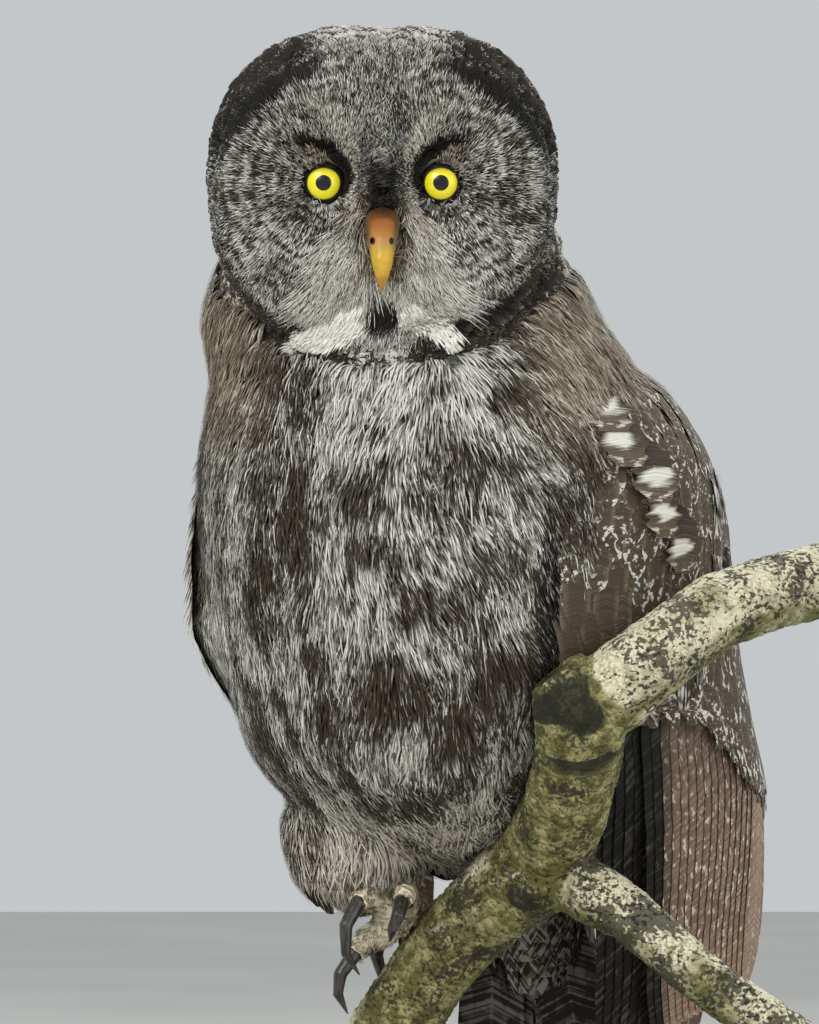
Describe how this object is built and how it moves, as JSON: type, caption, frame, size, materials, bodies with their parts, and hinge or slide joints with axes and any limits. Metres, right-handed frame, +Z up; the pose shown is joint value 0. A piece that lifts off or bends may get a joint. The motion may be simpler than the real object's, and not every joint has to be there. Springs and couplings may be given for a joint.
{
  "type": "great grey owl",
  "caption": "Life-size great grey owl with folded wings and a hanging tail, perched on a cut fork of a branch held over a flat base by rods.",
  "frame": {"origin": "centre of the stand base's underside", "axes": "+Z up through the owl, the face looks along -Y, the owl's left is towards +X"},
  "size_m": [0.3366, 0.2785, 0.6821],
  "materials": {
    "plumage_grey": "soft grey and brown streaked contour feathers",
    "plumage_face": "fine feathers in concentric grey and pale rings",
    "plumage_wing": "dark brown feathers with pale bars, flecks and spots",
    "plumage_tail": "dark brown feathers with mottled pale bars",
    "furry_toes": "short tan and brown downy feathers",
    "iris": "wet lemon yellow iris round a black pupil",
    "bill_horn": "smooth ochre and yellow horn",
    "black_horn": "smooth slate black horn",
    "pale_bark": "cream bark with black specks",
    "mossy_bark": "olive green mossy ringed bark",
    "base_wood": "satin brown varnished wood",
    "dark_metal": "satin dark bronze"
  },
  "bodies": {
    "root": {"head": "plumage_face", "neck": "plumage_grey", "torso": "plumage_grey", "eye_left": "iris", "eye_right": "iris", "bill_upper": "bill_horn", "bill_lower": "bill_horn", "wing_left": "plumage_wing", "wing_right": "plumage_wing", "tail": "plumage_tail", "leg_left": "plumage_grey", "leg_right": "plumage_grey", "foot_left": "furry_toes", "foot_right": "furry_toes", "perch_lower_limb": "mossy_bark", "perch_upright": "mossy_bark", "perch_upper_limb": "pale_bark", "perch_side_branch": "pale_bark", "stand_base": "base_wood", "stand_rod_lower_limb": "dark_metal", "stand_rod_side_branch": "dark_metal", "claw_left_1": "black_horn", "claw_left_2": "black_horn", "claw_left_3": "black_horn", "claw_left_4": "black_horn", "claw_right_1": "black_horn", "claw_right_2": "black_horn", "claw_right_3": "black_horn", "claw_right_4": "black_horn"}
  },
  "joints": []
}
